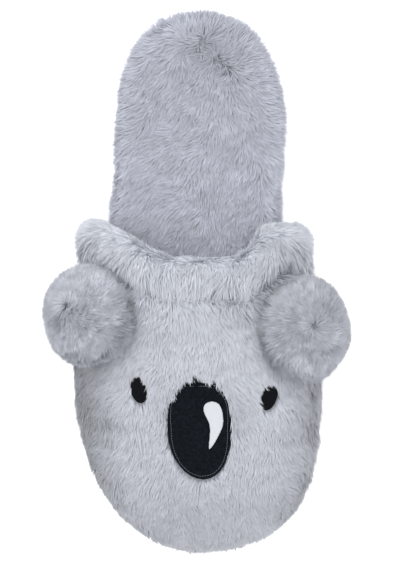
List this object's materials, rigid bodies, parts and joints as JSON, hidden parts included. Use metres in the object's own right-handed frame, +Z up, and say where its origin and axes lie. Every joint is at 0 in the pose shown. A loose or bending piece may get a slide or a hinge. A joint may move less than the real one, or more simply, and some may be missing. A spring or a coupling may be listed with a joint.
{
  "type": "plush animal mule slipper",
  "caption": "Plush mule slipper for the right foot: open heel, furry vamp with an animal face, pompom ears and a stuffed roll round the collar.",
  "frame": {"origin": "on the floor, under the flat pad at the middle of the sole", "axes": "+Z up, +Y towards the heel, -Y towards the toe, +X towards the inner side of the foot"},
  "size_m": [0.1466, 0.2654, 0.0891],
  "materials": {
    "rubber_sole": "matt moulded rubber",
    "plush_light": "light grey plush, nap towards the toe",
    "plush_bed": "light grey plush, pressed down",
    "plush_ear": "long grey fur",
    "black_felt": "black felt with a satin stitched edge",
    "white_thread": "white satin stitch"
  },
  "bodies": {
    "root": {"outsole": "rubber_sole", "midsole": "plush_light", "footbed": "plush_bed", "upper": "plush_light", "cuff": "plush_light", "ear_lateral": "plush_ear", "ear_medial": "plush_ear", "nose": "black_felt", "nose_glint": "white_thread", "eye_lateral": "black_felt", "eye_medial": "black_felt"}
  },
  "joints": []
}
